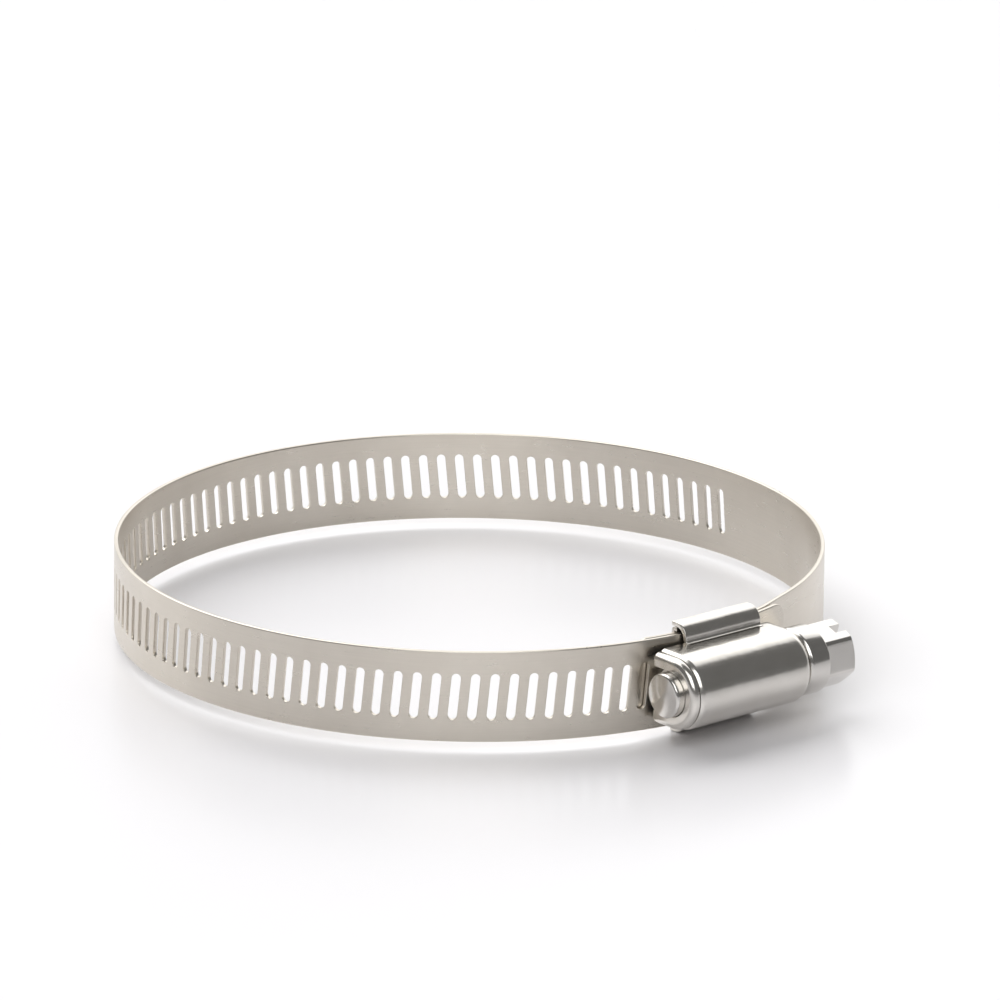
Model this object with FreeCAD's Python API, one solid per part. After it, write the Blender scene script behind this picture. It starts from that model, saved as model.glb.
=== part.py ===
import FreeCAD, Part
import math
import os

# Worm-drive hose clamp: a slotted band closed through a pressed housing by a captive screw.
# Frame: the clamp's axis is Z and the origin is the loop's centre at half the band's width.
# The housing lies towards -Y and the screw runs along X, with its hexagon towards +X.
# Places round the loop are angles from -Y, positive towards +X. Lengths are millimetres.

# Band
BORE_R = 48.4           # inside radius of the loop
BAND_T = 0.6
BAND_W = 12.7
SLOT_PITCH = 2.6        # also the lead of the screw
SLOT_L = 6.5
SLOT_W = 1.25
SLOT_LEAN = 5.5         # degrees, slot tops towards the hexagon
PLAIN_ARC = 92.0        # degrees of plain band between the housing and the first slot
TAIL_X = 15.5           # end of the free end at rest
TAIL_CORNER_R = 2.5
TONGUE_X = -11.2        # end of the fixed end, inside the loop
BEND_R = 18.0           # fixed end's bend off the saddle
BOSS_R = 1.2
BOSS_X = (-1.4, 4.5)

# The one flexible strip is carried by rigid links on pivots in its mid surface
RIGHT_LINKS = 5
LEFT_LINKS = 4
ROOT_ARC = 22.0         # least length of band from X = 0 to the first pivot
LINK_GAP = 0.04
SEAM_GAP = 0.3          # where the chain of links is left open, opposite the housing

# Saddle and housing
SADDLE_T = 0.6
SADDLE_X0 = -5.1
SADDLE_X1 = 8.2
WALL_SHORT = 0.4        # saddle walls below the free end's outer face
SHELL_T = 0.65
BARREL_X0 = -10.4
BARREL_X1 = 10.8
FRONT_ROUND = 1.4
REAR_ROUND = 1.4
SHOULDER_SHARE = 0.56   # of the way from skirt to barrel, taken by the shoulder's round
VALLEY_R = 0.4

# Screw
THREAD_R = 4.33
TIP_R = 3.05
TIP_X = -12.0
TIP_CHAMFER = 0.3
COLLAR_CHAMFER = 0.35   # on its inner rim
COLLAR_BREAK = 0.2      # on its outer rim
COLLAR_L = 3.5
HEX_AF = 8.0
HEX_L = 5.0
HEX_CHAMFER = 0.45
HEX_EDGE_R = 0.7
DRIVE_SLOT_W = 1.5
DRIVE_SLOT_DEPTH = 2.0
HEAD_TURN = 20.0        # degrees about X, where the hexagon rests

# Fits
BORE_CLEAR = 0.05       # saddle behind the bore's radius
LAP_GAP = 0.15          # between the two layers of band
EDGE_CLEAR = 0.1        # band edge to saddle wall
SHELL_CLEAR = 0.05      # saddle wall to housing skirt
CHANNEL_CLEAR = 0.4     # free end to the housing's legs
SHOULDER_CLEAR = 0.2    # free end to the housing's shoulders
CREST_SHORT = 0.02      # thread crest to the slotted band's inner face
HUB_CLEAR = 0.2         # screw's core to the slotted band's outer face
CREST_SLACK = 0.6       # thread's crest, narrower than a slot
ROOT_SLACK = 0.15       # thread's root, narrower than a slot
BARREL_CLEAR = 0.27     # thread to barrel
COLLAR_CLEAR = 0.2      # collar to the tail under it
JOURNAL_CLEAR = 0.06
THRUST_GAP = 0.1
BOSS_CLEAR = 0.08

# What follows from them
V = FreeCAD.Vector
UP = V(0, 0, 1)
LAP = BORE_CLEAR + SADDLE_T + BAND_T + LAP_GAP
RING_R = BORE_R + BAND_T / 2
FEED_Y = -LAP / 2                       # centre of the free side's circle
FEED_R = RING_R + LAP / 2               # its mid surface
FIXED_R = FEED_R - BAND_T - LAP_GAP     # mid surface of the fixed end on the saddle
SADDLE_IN = FIXED_R - BAND_T / 2 - SADDLE_T
AXIS_Y = -(BORE_R + LAP + CREST_SHORT + THREAD_R)
LEG_Y = -(BORE_R + LAP + BAND_T + CHANNEL_CLEAR)
LINK_SLOTS = int((math.pi * RING_R - ROOT_ARC) / (RIGHT_LINKS * SLOT_PITCH))
LINK_L = LINK_SLOTS * SLOT_PITCH
RIGHT_STEP = math.degrees(LINK_L / RING_R)
LEFT_STEP = math.degrees(LINK_L / FEED_R)
WALL_Z = BAND_W / 2 + EDGE_CLEAR        # inside of the saddle's walls
SKIRT_Z = WALL_Z + SADDLE_T + SHELL_CLEAR + SHELL_T
THREAD_DEPTH = BAND_T - CREST_SHORT + HUB_CLEAR
HUB_R = THREAD_R - THREAD_DEPTH
RIDGE_CREST = SLOT_W - CREST_SLACK
RIDGE_ROOT = SLOT_W - ROOT_SLACK
BARREL_R = THREAD_R + BARREL_CLEAR + SHELL_T
SHOULDER_R = SHOULDER_SHARE * (SKIRT_Z - BARREL_R)
SKIRT_TOP = -(BORE_R + LAP + BAND_T + SHOULDER_CLEAR + SHELL_T) + SHOULDER_R
COLLAR_X = BARREL_X1 + THRUST_GAP
TAIL_Y = FEED_Y - math.sqrt((FEED_R + BAND_T / 2) ** 2 - COLLAR_X ** 2)
COLLAR_R = TAIL_Y - AXIS_Y - COLLAR_CLEAR


def on_ring(radius, angle, centre=V(0, 0, 0)):
    """The point at this angle from -Y on a circle about a vertical axis."""
    a = math.radians(angle)
    return centre + V(radius * math.sin(a), -radius * math.cos(a), 0)


def arc(radius, start, end, centre=V(0, 0, 0)):
    points = [on_ring(radius, a, centre) for a in (start, (start + end) / 2, end)]
    return Part.Arc(*points).toShape()


def raised(edges, low, high):
    """A solid whose plan is bounded by the edges, between two heights."""
    face = Part.Face(Part.Wire(Part.__sortEdges__(edges)))
    face.translate(V(0, 0, low))
    return face.extrude(V(0, 0, high - low))


def sector(inner, outer, start, end, low, high, centre=V(0, 0, 0)):
    """Part of a ring between two radii, two angles and two heights."""
    edges = [
        arc(inner, start, end, centre),
        arc(outer, start, end, centre),
        Part.makeLine(on_ring(inner, start, centre), on_ring(outer, start, centre)),
        Part.makeLine(on_ring(inner, end, centre), on_ring(outer, end, centre)),
    ]
    return raised(edges, low, high)


def band_arc(radius, start, end, centre=V(0, 0, 0)):
    half = BAND_T / 2
    return sector(radius - half, radius + half, start, end, -BAND_W / 2, BAND_W / 2, centre)


def slot(radius, angle, centre=V(0, 0, 0)):
    """A round-ended cutter through the band, leaning like the screw's thread."""
    depth = 3 * BAND_T
    straight = SLOT_L - SLOT_W
    back = -radius - depth / 2
    cutter = Part.makeBox(SLOT_W, depth, straight, V(-SLOT_W / 2, back, -straight / 2))
    for z in (-straight / 2, straight / 2):
        cutter = cutter.fuse(Part.makeCylinder(SLOT_W / 2, depth, V(0, back, z), V(0, 1, 0)))
    cutter = cutter.removeSplitter()
    cutter.rotate(V(0, 0, 0), V(0, 1, 0), SLOT_LEAN)
    cutter.translate(centre)
    cutter.rotate(centre, UP, angle)
    return cutter


def slotted(solid, radius, angles, centre=V(0, 0, 0)):
    cutters = [slot(radius, a, centre) for a in angles]
    if not cutters:
        return solid
    return solid.cut(cutters)


def slot_angles(radius, low, high):
    """Slot places at the pitch, counted from the seam, within a stretch of angles above 0."""
    step = math.degrees(SLOT_PITCH / radius)
    count = int(360 / step)
    places = [180 - (i + 0.5) * step for i in range(count)]
    return [a for a in places if low < a < high]


FEED_C = V(0, FEED_Y, 0)
LINK_END = math.degrees(LINK_GAP / 2 / RING_R)
SEAM = math.degrees(SEAM_GAP / 2 / RING_R)


def right_link(i):
    """Link i of the side that grows from the fixed end, 1 beside the housing."""
    start = 180 - (RIGHT_LINKS - i + 1) * RIGHT_STEP
    end = start + RIGHT_STEP
    stop = SEAM if i == RIGHT_LINKS else LINK_END
    link = band_arc(RING_R, start + LINK_END, end - stop)
    return slotted(link, RING_R, slot_angles(RING_R, max(start, PLAIN_ARC), end))


def left_link(i):
    """Link i of the side that the screw draws in, 1 beside the free end."""
    start = 180 - (LEFT_LINKS - i + 1) * LEFT_STEP
    end = start + LEFT_STEP
    stop = SEAM if i == LEFT_LINKS else LINK_END
    link = band_arc(FEED_R, -end + stop, -start - LINK_END, FEED_C)
    angles = [-a for a in slot_angles(FEED_R, start, end)]
    return slotted(link, FEED_R, angles, FEED_C)


def free_end():
    """The slotted end under the screw, from the first left pivot to its round-cornered tail."""
    start = -(180 - LEFT_LINKS * LEFT_STEP) + LINK_END
    end = math.degrees(math.asin(TAIL_X / FEED_R))
    body = band_arc(FEED_R, start, end, FEED_C)
    corners = [
        e for e in body.Edges
        if abs(e.Length - BAND_T) < 0.01 and e.CenterOfMass.x > TAIL_X - 1
    ]
    body = body.makeFillet(TAIL_CORNER_R, corners)
    last = end - math.degrees((SLOT_W + TAIL_CORNER_R / 2) / FEED_R)
    angles = [-a for a in slot_angles(FEED_R, -last, -start)]
    return slotted(body, FEED_R, angles, FEED_C)


def fixed_end():
    """The plain end: flat on the saddle, bent off it, then straight to the loop's circle."""
    half = BAND_T / 2
    start = math.degrees(math.asin(TONGUE_X / FIXED_R))
    leave = math.degrees(math.asin((SADDLE_X1 + BAND_T) / FIXED_R))
    end = 180 - RIGHT_LINKS * RIGHT_STEP - LINK_END
    bend = on_ring(FIXED_R - BEND_R, leave, FEED_C)
    toward = math.degrees(math.atan2(bend.x, -bend.y))
    meet = toward + math.degrees(math.acos((RING_R - BEND_R) / bend.Length))
    edges = []
    for side in (-half, half):
        edges.append(arc(FIXED_R + side, start, leave, FEED_C))
        edges.append(arc(BEND_R + side, leave, meet, bend))
        edges.append(Part.makeLine(on_ring(BEND_R + side, meet, bend), on_ring(RING_R + side, meet)))
        edges.append(arc(RING_R + side, meet, end))
    tip = [on_ring(FIXED_R + side, start, FEED_C) for side in (-half, half)]
    root = [on_ring(RING_R + side, end) for side in (-half, half)]
    edges.append(Part.makeLine(*tip))
    edges.append(Part.makeLine(*root))
    body = raised(edges, -BAND_W / 2, BAND_W / 2)
    for x in BOSS_X:
        body = body.cut(boss(x, BOSS_R + BOSS_CLEAR, 2 * BAND_T))
    return body


def boss(x, radius, height):
    """A round boss that stands on the saddle, pointing out of the loop."""
    angle = math.degrees(math.asin(x / FIXED_R))
    foot = FIXED_R - BAND_T / 2 - SADDLE_T / 2
    rod = Part.makeCylinder(radius, height + SADDLE_T / 2, V(0, FEED_Y - foot, 0), V(0, -1, 0))
    rod.rotate(FEED_C, UP, angle)
    return rod


def along_x(low, high):
    """A slab as tall and deep as the clamp between two places on X."""
    reach = 2 * BORE_R
    return Part.makeBox(high - low, reach, reach, V(low, -reach, -reach / 2))


def saddle():
    """A pressed channel: a curved base under both layers of band, and two upturned walls."""
    wide = 20.0
    top_z = WALL_Z + SADDLE_T
    seat = SADDLE_IN + SADDLE_T
    wall_top = FEED_R + BAND_T / 2 - WALL_SHORT
    body = sector(SADDLE_IN, seat, -wide, wide, -top_z, top_z, FEED_C)
    for low in (-top_z, WALL_Z):
        body = body.fuse(sector(seat, wall_top, -wide, wide, low, low + SADDLE_T, FEED_C))
    body = body.removeSplitter()
    rims = [
        e for e in body.Edges
        if e.Length > 20 and abs(abs(e.CenterOfMass.z) - top_z) < 0.01
        and abs(Part.Vertex(FEED_C + V(0, 0, e.CenterOfMass.z)).distToShape(e)[0] - SADDLE_IN) < 0.01
    ]
    body = body.makeFillet(SADDLE_T / 2, rims)
    body = body.common(along_x(SADDLE_X0, SADDLE_X1))
    for x in BOSS_X:
        body = body.fuse(boss(x, BOSS_R, BAND_T - 0.05))
    return body.removeSplitter()


def tunnel(radius, low, high, foot_y):
    """A round-topped bar along X about the screw's axis, with straight legs to foot_y."""
    corners = [
        V(low, foot_y, -radius), V(low, AXIS_Y, -radius),
        V(low, AXIS_Y, radius), V(low, foot_y, radius),
    ]
    edges = [
        Part.makeLine(corners[0], corners[1]),
        Part.Arc(corners[1], V(low, AXIS_Y - radius, 0), corners[2]).toShape(),
        Part.makeLine(corners[2], corners[3]),
        Part.makeLine(corners[3], corners[0]),
    ]
    return Part.Face(Part.Wire(edges)).extrude(V(high - low, 0, 0))


def rounded_tunnel(radius, low, high, foot_y, low_round, high_round):
    """The same bar with its two ends rounded, but not its flat underside."""
    body = tunnel(radius, low, high, foot_y)
    for x, size in ((low, low_round), (high, high_round)):
        rim = [
            e for e in body.Edges
            if abs(e.BoundBox.XMin - x) < 0.01 and abs(e.BoundBox.XMax - x) < 0.01
            and e.CenterOfMass.y < foot_y - 0.1
        ]
        body = body.makeFillet(size, rim)
    return body


def skirt(z, turn, low, high):
    """A bar along X with flat sides and two rounded outer shoulders."""
    floor = FEED_Y - SADDLE_IN + 3.0
    top = SKIRT_TOP - turn
    inner = z - turn
    bulge = turn * math.sqrt(0.5)
    edges = []
    for side in (-1, 1):
        foot = V(low, floor, side * z)
        spring = V(low, SKIRT_TOP, side * z)
        shoulder = V(low, SKIRT_TOP - bulge, side * (inner + bulge))
        crown = V(low, top, side * inner)
        edges.append(Part.makeLine(foot, spring))
        edges.append(Part.Arc(spring, shoulder, crown).toShape())
    edges.append(Part.makeLine(V(low, top, -inner), V(low, top, inner)))
    edges.append(Part.makeLine(V(low, floor, -z), V(low, floor, z)))
    return Part.Face(Part.Wire(Part.__sortEdges__(edges))).extrude(V(high - low, 0, 0))


def housing():
    """One pressed shell: a barrel over the screw, end walls, and skirts round the saddle."""
    barrel = rounded_tunnel(BARREL_R, BARREL_X0, BARREL_X1, LEG_Y, FRONT_ROUND, REAR_ROUND)
    body = barrel.fuse(skirt(SKIRT_Z, SHOULDER_R, SADDLE_X0, SADDLE_X1)).removeSplitter()
    valleys = [
        e for e in body.Edges
        if e.BoundBox.XLength > 5 and e.BoundBox.YLength < 0.01
        and abs(abs(e.CenterOfMass.z) - BARREL_R) < 0.4
        and AXIS_Y + 0.1 < e.CenterOfMass.y < LEG_Y - 0.3
    ]
    body = body.makeFillet(VALLEY_R, valleys)
    body = body.cut(Part.makeCylinder(SADDLE_IN, 4 * BAND_W, V(0, FEED_Y, -2 * BAND_W)))
    far = 2 * SHELL_T
    body = body.cut(skirt(SKIRT_Z - SHELL_T, SHOULDER_R - SHELL_T, SADDLE_X0 - far, SADDLE_X1 + far))
    room = rounded_tunnel(
        BARREL_R - SHELL_T, BARREL_X0 + SHELL_T, BARREL_X1 - SHELL_T, LEG_Y + far,
        FRONT_ROUND - SHELL_T, REAR_ROUND - SHELL_T,
    )
    body = body.cut(room)
    for x, radius in ((BARREL_X0, TIP_R), (BARREL_X1, HUB_R)):
        body = body.cut(tunnel(radius + JOURNAL_CLEAR, x - far, x + far, LEG_Y + far))
    return body


def thread(low, high):
    """The helical ridge, in step with the slots and trimmed square at both ends."""
    nearest = min(slot_angles(FEED_R, -SLOT_PITCH, SLOT_PITCH), key=abs)
    crest_x = -math.radians(nearest) * FEED_R
    start = crest_x - SLOT_PITCH * math.ceil((crest_x - low) / SLOT_PITCH + 1)
    turns = math.ceil((high - start) / SLOT_PITCH) + 1
    helix = Part.makeHelix(SLOT_PITCH, turns * SLOT_PITCH, HUB_R)
    sunk = 0.25
    slope = (RIDGE_ROOT - RIDGE_CREST) / 2 / THREAD_DEPTH
    root = RIDGE_ROOT / 2 + slope * sunk
    crest = RIDGE_CREST / 2
    profile = Part.makePolygon([
        V(HUB_R - sunk, 0, -root), V(THREAD_R, 0, -crest), V(THREAD_R, 0, crest),
        V(HUB_R - sunk, 0, root), V(HUB_R - sunk, 0, -root),
    ])
    ridge = Part.Wire(helix.Edges).makePipeShell([profile], True, True)
    ridge.rotate(V(0, 0, 0), V(0, 1, 0), 90)
    ridge.rotate(V(0, 0, 0), V(1, 0, 0), 90)
    ridge.translate(V(start, AXIS_Y, 0))
    keep = Part.makeCylinder(2 * THREAD_R, high - low, V(low, AXIS_Y, 0), V(1, 0, 0))
    return ridge.common(keep)


def screw():
    """The captive screw: journal tip, worm thread, neck, thrust collar and slotted hexagon."""
    room0 = BARREL_X0 + SHELL_T
    room1 = BARREL_X1 - SHELL_T
    hex_x = COLLAR_X + COLLAR_L
    end_x = hex_x + HEX_L
    x_axis = V(1, 0, 0)
    profile = [
        (TIP_X, 0), (TIP_X, TIP_R - TIP_CHAMFER), (TIP_X + TIP_CHAMFER, TIP_R),
        (room0 + THRUST_GAP, TIP_R), (room0 + THRUST_GAP, HUB_R),
        (COLLAR_X, HUB_R), (COLLAR_X, COLLAR_R - COLLAR_CHAMFER),
        (COLLAR_X + COLLAR_CHAMFER, COLLAR_R), (hex_x - COLLAR_BREAK, COLLAR_R),
        (hex_x, COLLAR_R - COLLAR_BREAK), (hex_x, 0), (TIP_X, 0),
    ]
    outline = Part.makePolygon([V(x, AXIS_Y - r, 0) for x, r in profile])
    shank = Part.Face(outline).revolve(V(0, AXIS_Y, 0), x_axis, 360)
    body = shank.fuse(thread(room0 + FRONT_ROUND - SHELL_T, room1 - REAR_ROUND + SHELL_T))
    corner = HEX_AF / math.sqrt(3)
    root_x = hex_x - COLLAR_L / 4
    ring = []
    for k in range(7):
        a = math.radians(60 * k + HEAD_TURN)
        ring.append(V(root_x, AXIS_Y + corner * math.cos(a), corner * math.sin(a)))
    head = Part.Face(Part.makePolygon(ring)).extrude(V(end_x - root_x, 0, 0))
    head = head.makeFillet(HEX_EDGE_R, [e for e in head.Edges if e.BoundBox.XLength > HEX_L])
    cone_x = end_x - HEX_CHAMFER
    turned = Part.makeCylinder(corner, cone_x - root_x, V(root_x, AXIS_Y, 0), x_axis)
    end_r = corner - 2 * HEX_CHAMFER
    cone = Part.makeCone(corner, end_r, HEX_CHAMFER, V(cone_x, AXIS_Y, 0), x_axis)
    body = body.fuse(head.common(turned.fuse(cone)))
    drive = Part.makeBox(2 * DRIVE_SLOT_DEPTH, DRIVE_SLOT_W, 2 * corner)
    drive.translate(V(end_x - DRIVE_SLOT_DEPTH, AXIS_Y - DRIVE_SLOT_W / 2, -corner))
    drive.rotate(V(0, AXIS_Y, 0), x_axis, HEAD_TURN)
    return body.cut(drive)


def save(name, shape):
    shape.exportStep("parts/%s.step" % name)


os.makedirs("parts", exist_ok=True)
save("housing", housing())
save("saddle", saddle())
save("screw", screw())
save("band_fixed_end", fixed_end())
save("band_free_end", free_end())
for n in range(1, RIGHT_LINKS + 1):
    save("band_right_%02d" % n, right_link(n))
for n in range(1, LEFT_LINKS + 1):
    save("band_left_%02d" % n, left_link(n))
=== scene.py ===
import bmesh
import bpy
import math
from mathutils import Matrix, Vector


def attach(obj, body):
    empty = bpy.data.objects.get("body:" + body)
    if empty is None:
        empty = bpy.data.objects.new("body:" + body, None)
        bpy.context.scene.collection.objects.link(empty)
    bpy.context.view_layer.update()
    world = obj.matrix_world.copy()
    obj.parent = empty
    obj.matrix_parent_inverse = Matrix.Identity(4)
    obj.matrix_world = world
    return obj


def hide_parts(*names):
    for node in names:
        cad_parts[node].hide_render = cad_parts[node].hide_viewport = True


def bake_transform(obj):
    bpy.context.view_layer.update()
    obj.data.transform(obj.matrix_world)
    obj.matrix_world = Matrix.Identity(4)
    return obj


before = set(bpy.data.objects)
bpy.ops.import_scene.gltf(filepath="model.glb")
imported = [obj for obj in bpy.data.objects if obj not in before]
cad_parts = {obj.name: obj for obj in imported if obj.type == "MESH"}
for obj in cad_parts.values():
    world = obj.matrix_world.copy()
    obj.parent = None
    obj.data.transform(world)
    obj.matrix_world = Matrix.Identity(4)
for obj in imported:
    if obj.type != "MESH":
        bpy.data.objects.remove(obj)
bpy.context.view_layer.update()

# ---------------------------------------------------------------------------------------------
# The strip: one length of 12.7 mm stainless steel, cold rolled to 0.6 mm, slit with rounded
# edges and pierced with leaning slots, one to each turn of the screw. Its plain end is fixed to
# the saddle. From there it goes once round, under the screw, and ends in a short tail.
MM = 0.001
STRIP_T = 0.6
STRIP_W = 12.7
PITCH = 2.6
SLOT_L = 6.5
SLOT_W = 1.25
SLOT_LEAN = math.radians(5.5)
RING_R = 48.7
FEED_R = 49.4
FEED_Y = -0.7
FIXED_R = 48.65
TONGUE_X = -11.2
TAIL_X = 15.5
TAIL_ROUND = 2.5
TONGUE_ROUND = 1.6
LEAVE_X = 8.8
BEND_R = 18.0
BOSS_X = (-1.4, 4.5)
HALF_TILE = PITCH / 2
BOX_Z = 4.1
SIDE_STEPS = 14
TOP_STEPS = 6
EDGE_R = 0.17
SLOT_BREAK = 0.07
BOSS_HOLE_R = 1.28
WELD = 0.0000015            # metres; points nearer than this become one


def on_circle(radius, angle, centre_y=0.0):
    """A place at this angle from -Y, positive towards +X, in millimetres."""
    return Vector((radius * math.sin(angle), centre_y - radius * math.cos(angle), 0))


def arc_points(radius, start, end, centre, step=0.25):
    """Points along an arc between two angles from -Y, about this far apart."""
    count = max(2, int(abs(end - start) * radius / step))
    turns = [start + (end - start) * i / count for i in range(count + 1)]
    return [centre + Vector((radius * math.sin(a), -radius * math.cos(a), 0)) for a in turns]


# The strip's middle line, from the tongue, off the saddle, round the loop and back to the tail
feed_centre = Vector((0, FEED_Y, 0))
leave = math.asin(LEAVE_X / FIXED_R)
bend_centre = on_circle(FIXED_R - BEND_R, leave, FEED_Y)
meet = math.atan2(bend_centre.x, -bend_centre.y) + math.acos((RING_R - BEND_R) / bend_centre.length)
line = arc_points(FIXED_R, math.asin(TONGUE_X / FIXED_R), leave, feed_centre)
line += arc_points(BEND_R, leave, meet, bend_centre)[1:]
line += arc_points(RING_R, meet, math.pi, Vector((0, 0, 0)))
seam_place = len(line) - 1
line += arc_points(FEED_R, -math.pi, math.asin(TAIL_X / FEED_R), feed_centre)[1:]
along = [0.0]
for one, other in zip(line, line[1:]):
    along.append(along[-1] + (other - one).length)
SEAM = along[seam_place]
LENGTH = along[-1]

path_data = bpy.data.curves.new("strip_middle_line", "CURVE")
path_data.dimensions = "3D"
spline = path_data.splines.new("POLY")
spline.points.add(len(line) - 1)
for point, place in zip(spline.points, line):
    point.co = (*(place * MM), 1)
path = bpy.data.objects.new("strip_middle_line", path_data)


def mesh_object(name, points, faces):
    """A mesh in metres from points in millimetres."""
    data = bpy.data.meshes.new(name)
    data.from_pydata([tuple(c * MM for c in p) for p in points], [], faces)
    data.update()
    return bpy.data.objects.new(name, data)


def rounded_profile(half_w, half_t, radius, low_z, steps=3):
    """(y, z) points from the outer face at low_z over a rounded edge to the inner face at low_z."""
    quarter = [i * math.pi / 2 / steps for i in range(steps + 1)]
    over = [(-half_t + radius * (1 - math.cos(a)), half_w - radius * (1 - math.sin(a))) for a in quarter]
    rows = [low_z, 5.0, half_w - radius - 0.25, half_w - radius - 0.06]
    outer = [(-half_t, z) for z in rows if z <= half_w - radius]
    outer += [(y, z) for y, z in over]
    return outer + [(-y, z) for y, z in reversed(outer)]


SIDE_Z = [-BOX_Z + 2 * BOX_Z * i / SIDE_STEPS for i in range(SIDE_STEPS + 1)]
EDGE_ROWS = rounded_profile(STRIP_W / 2, STRIP_T / 2, EDGE_R, BOX_Z)


def add_grid(points, faces, rows, closed_rows=False):
    """Joins rows of points of one length into quads."""
    first = len(points)
    wide = len(rows[0])
    for row in rows:
        points.extend(row)
    for i in range(len(rows) - 1):
        last = wide if closed_rows else wide - 1
        for j in range(last):
            a = first + i * wide + j
            b = first + i * wide + (j + 1) % wide
            faces.append((a, b, b + wide, a + wide))


def add_edges(points, faces, xs):
    """The strip's two rounded long edges, above and below the box that holds a hole."""
    top = [[(x, y, z) for x in xs] for y, z in EDGE_ROWS]
    bottom = [[(x, y, -z) for x in xs] for y, z in EDGE_ROWS]
    add_grid(points, faces, top)
    add_grid(points, faces, bottom)


def add_plain(points, faces, xs):
    """A stretch of unpierced strip between two rounded edges."""
    add_edges(points, faces, xs)
    outer = [[(x, -STRIP_T / 2, z) for x in xs] for z in SIDE_Z]
    inner = [[(x, STRIP_T / 2, z) for x in xs] for z in SIDE_Z]
    add_grid(points, faces, outer)
    add_grid(points, faces, inner)


def box_ring(half):
    """Points round the box about a hole, from its lower right corner and up."""
    across = [half - 2 * half * i / TOP_STEPS for i in range(TOP_STEPS + 1)]
    ring = [(half, z) for z in SIDE_Z]
    ring += [(x, BOX_Z) for x in across[1:]]
    ring += [(-half, z) for z in reversed(SIDE_Z[:-1])]
    ring += [(x, -BOX_Z) for x in reversed(across[1:-1])]
    return ring


def slot_ring(grow):
    """The same number of points round a leaning slot, this far out from its edge."""
    straight, caps, early = 8, 12, 3
    reach = (SLOT_L - SLOT_W) / 2
    radius = SLOT_W / 2 + grow
    ring = [(radius, -reach + 2 * reach * i / straight) for i in range(straight + 1)]
    for i in range(1, caps + 1):
        a = math.pi * i / caps
        ring.append((radius * math.cos(a), reach + radius * math.sin(a)))
    ring += [(-x, -z) for x, z in ring[1:-1]]
    ring = ring[-early:] + ring[:-early]
    c, s = math.cos(SLOT_LEAN), math.sin(SLOT_LEAN)
    return [(x * c + z * s, z * c - x * s) for x, z in ring]


def round_ring(radius, half):
    """The same for a round hole: rings of the box's points, drawn in to a circle."""
    return lambda grow: [
        ((radius + grow) * x / math.hypot(x, z), (radius + grow) * z / math.hypot(x, z))
        for x, z in box_ring(half)
    ]


def add_pierced(points, faces, centre, half, hole):
    """A stretch of strip with one hole, whose rims are slightly rolled over by the punch."""
    add_edges(points, faces, [centre - half + 2 * half * i / TOP_STEPS for i in range(TOP_STEPS + 1)])
    t = STRIP_T / 2
    rolls = [(SLOT_BREAK * (1 - math.cos(a)), SLOT_BREAK * (1 - math.sin(a))) for a in
             (math.pi / 2, math.pi / 4, 0)]
    levels = [(None, -t), (0.27, -t), (SLOT_BREAK + 0.05, -t)] + [(g, d - t) for g, d in rolls]
    levels += [(g, -y) for g, y in reversed(levels)]
    rings = []
    for grow, y in levels:
        ring = box_ring(half) if grow is None else hole(grow)
        rings.append([(centre + x, y, z) for x, z in ring])
    add_grid(points, faces, rings, closed_rows=True)


def round_off(points, end_x, side):
    """Narrows and rounds the strip towards its end."""
    moved = []
    for x, y, z in points:
        left = (end_x - x) * side
        radius = TAIL_ROUND if side > 0 else TONGUE_ROUND
        half = STRIP_W / 2
        if left < radius:
            half += math.sqrt(max(0.0, radius ** 2 - (radius - left) ** 2)) - radius
        if left < EDGE_R:
            y *= 1 - (1 - math.sqrt(max(0.0, 1 - (1 - left / EDGE_R) ** 2))) * EDGE_R / (STRIP_T / 2)
        moved.append((x, y, z * half / (STRIP_W / 2)))
    return moved


def close_ends(mesh):
    """Closes the strip's two cut ends, keeps them crisp, and turns every face outward."""
    bm = bmesh.new()
    bm.from_mesh(mesh)
    bmesh.ops.remove_doubles(bm, verts=bm.verts, dist=WELD)
    rim = [e for e in bm.edges if e.is_boundary]
    caps = bmesh.ops.holes_fill(bm, edges=rim, sides=0)["faces"]
    for edge in rim:
        edge.smooth = False
    for face in bm.faces:
        face.smooth = True
    bmesh.ops.triangulate(bm, faces=caps)
    bmesh.ops.recalc_face_normals(bm, faces=bm.faces)
    bm.to_mesh(mesh)
    bm.free()


def steps_between(start, end, step):
    """Evenly spread places from start to end, about a step apart."""
    count = max(1, round((end - start) / step))
    return [start + (end - start) * i / count for i in range(count + 1)]


points, faces = [], []
add_pierced(points, faces, 0, HALF_TILE, slot_ring)
slotted_tile = mesh_object("slotted_tile", points, faces)
points, faces = [], []
add_plain(points, faces, [-HALF_TILE + PITCH * i / TOP_STEPS for i in range(TOP_STEPS + 1)])
plain_tile = mesh_object("plain_tile", points, faces)

# The fixed end's own stretch: a tongue, then the two round holes that the saddle's bosses fill
fixed_start = math.asin(TONGUE_X / FIXED_R) * FIXED_R
boss_s = [math.asin(x / FIXED_R) * FIXED_R - fixed_start for x in BOSS_X]
boss_half = (boss_s[1] - boss_s[0]) / 2
boss_end = boss_s[1] + boss_half
tongue_tiles = math.floor((SEAM - boss_end) / PITCH)
tongue_end = SEAM - tongue_tiles * PITCH
points, faces = [], []
rim_x = [EDGE_R * (1 - math.cos(a * math.pi / 8)) for a in range(5)]
add_plain(points, faces, rim_x + steps_between(0.3, boss_s[0] - boss_half, 0.4))
points = round_off(points, 0, -1)
for s in boss_s:
    add_pierced(points, faces, s, boss_half, round_ring(BOSS_HOLE_R, boss_half))
add_plain(points, faces, steps_between(boss_end, tongue_end, 0.4))
tongue = mesh_object("tongue", points, faces)

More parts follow.
